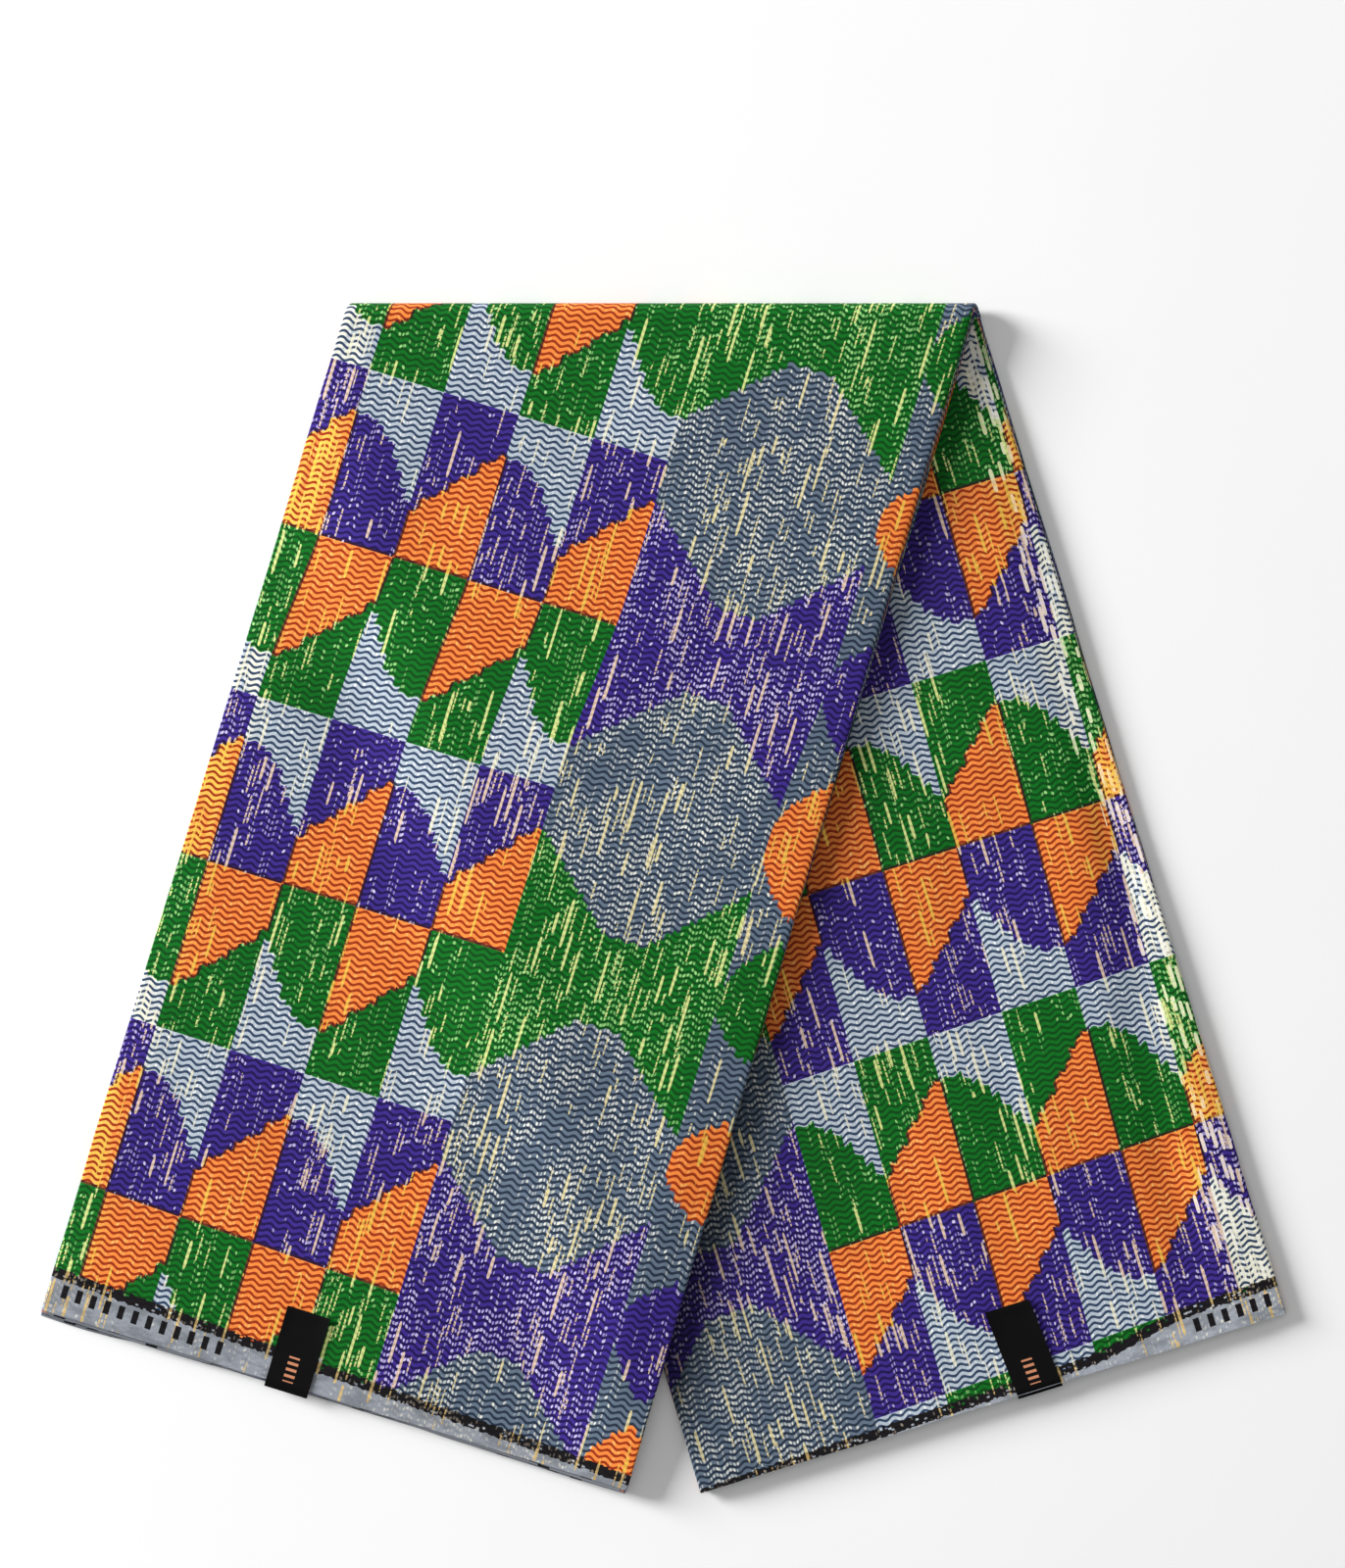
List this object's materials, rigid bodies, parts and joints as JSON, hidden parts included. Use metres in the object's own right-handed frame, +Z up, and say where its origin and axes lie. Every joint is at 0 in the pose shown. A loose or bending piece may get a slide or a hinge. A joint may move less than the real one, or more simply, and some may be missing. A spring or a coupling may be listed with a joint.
{
  "type": "folded length of ankara printed cotton",
  "caption": "Length of bold geometric printed cotton folded to a flat layered strip, turned over once at a slant and laid flat as two splayed legs with woven tabs.",
  "frame": {"origin": "on the floor under the middle of the folded cloth's bounding box", "axes": "+Z up from the surface it lies on, +Y towards the turned top, +X towards the back leg"},
  "size_m": [0.6202, 0.5922, 0.0141],
  "materials": {
    "printed_cotton": "matte printed cotton with metallic yarn dashes",
    "cloth_layers": "matte cotton layer edges and selvedges",
    "woven_tab": "black satin ribbon"
  },
  "bodies": {
    "root": {"front_leg": "printed_cotton", "top_turn": "printed_cotton", "back_leg": "printed_cotton", "hidden_layers": "cloth_layers", "front_label": "woven_tab", "back_label": "woven_tab"}
  },
  "joints": []
}
